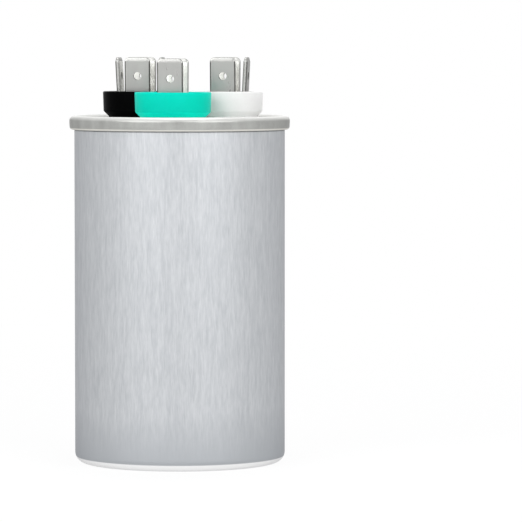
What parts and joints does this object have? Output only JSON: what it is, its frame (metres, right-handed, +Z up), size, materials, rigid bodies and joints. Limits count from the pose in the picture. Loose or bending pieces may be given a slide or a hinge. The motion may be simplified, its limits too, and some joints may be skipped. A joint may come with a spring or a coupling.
{
  "type": "motor run capacitor",
  "caption": "Round dual motor run capacitor: plain aluminium can, double-seamed tin-plate lid, and black, teal and white cups with upright push-on tabs.",
  "frame": {"origin": "centre of the can's flat bottom", "axes": "+Z up along the can's axis; -Y towards the fan cup at the front; +X towards the compressor cup's side"},
  "size_m": [0.0414, 0.0414, 0.0759],
  "materials": {
    "can_aluminium": "vertically brushed, satin",
    "tin_plate": "tin-plated steel sheet, satin",
    "cup_black": "moulded, smooth",
    "cup_teal": "moulded, smooth",
    "cup_white": "moulded, smooth",
    "tinned_brass": "bright tin-plated brass",
    "rivet_metal": "tin-plated",
    "seal_rubber": "smooth",
    "compound": "cured sealing compound",
    "insulator": "natural moulded plastic",
    "tinned_copper": "tinned strip",
    "sprayed_zinc": "rough sprayed zinc",
    "film": "metallised film, wound tight",
    "film_wrap": "clear film wrap",
    "liner_board": "insulating sleeve",
    "core_plastic": "extruded tube"
  },
  "bodies": {
    "root": {"can": "can_aluminium", "lid": "tin_plate", "seam_compound": "compound", "cup_common": "cup_black", "cup_fan": "cup_teal", "cup_herm": "cup_white", "terminal_common": "tinned_brass", "terminal_fan": "tinned_brass", "terminal_herm": "tinned_brass", "rivet_common": "rivet_metal", "rivet_fan": "rivet_metal", "rivet_herm": "rivet_metal", "seal_common": "seal_rubber", "seal_fan": "seal_rubber", "seal_herm": "seal_rubber", "washer_common": "insulator", "washer_fan": "insulator", "washer_herm": "insulator", "lug_common": "tinned_brass", "lug_fan": "tinned_brass", "lug_herm": "tinned_brass", "lead_common": "tinned_copper", "lead_fan": "tinned_copper", "lead_herm": "tinned_copper", "top_insulator": "insulator", "end_spray_fan": "sprayed_zinc", "end_spray_herm": "sprayed_zinc", "end_spray_common": "sprayed_zinc", "fan_winding": "film", "section_barrier": "film_wrap", "herm_winding": "film", "core_tube": "core_plastic", "bottom_insulator": "insulator", "liner": "liner_board"}
  },
  "joints": []
}
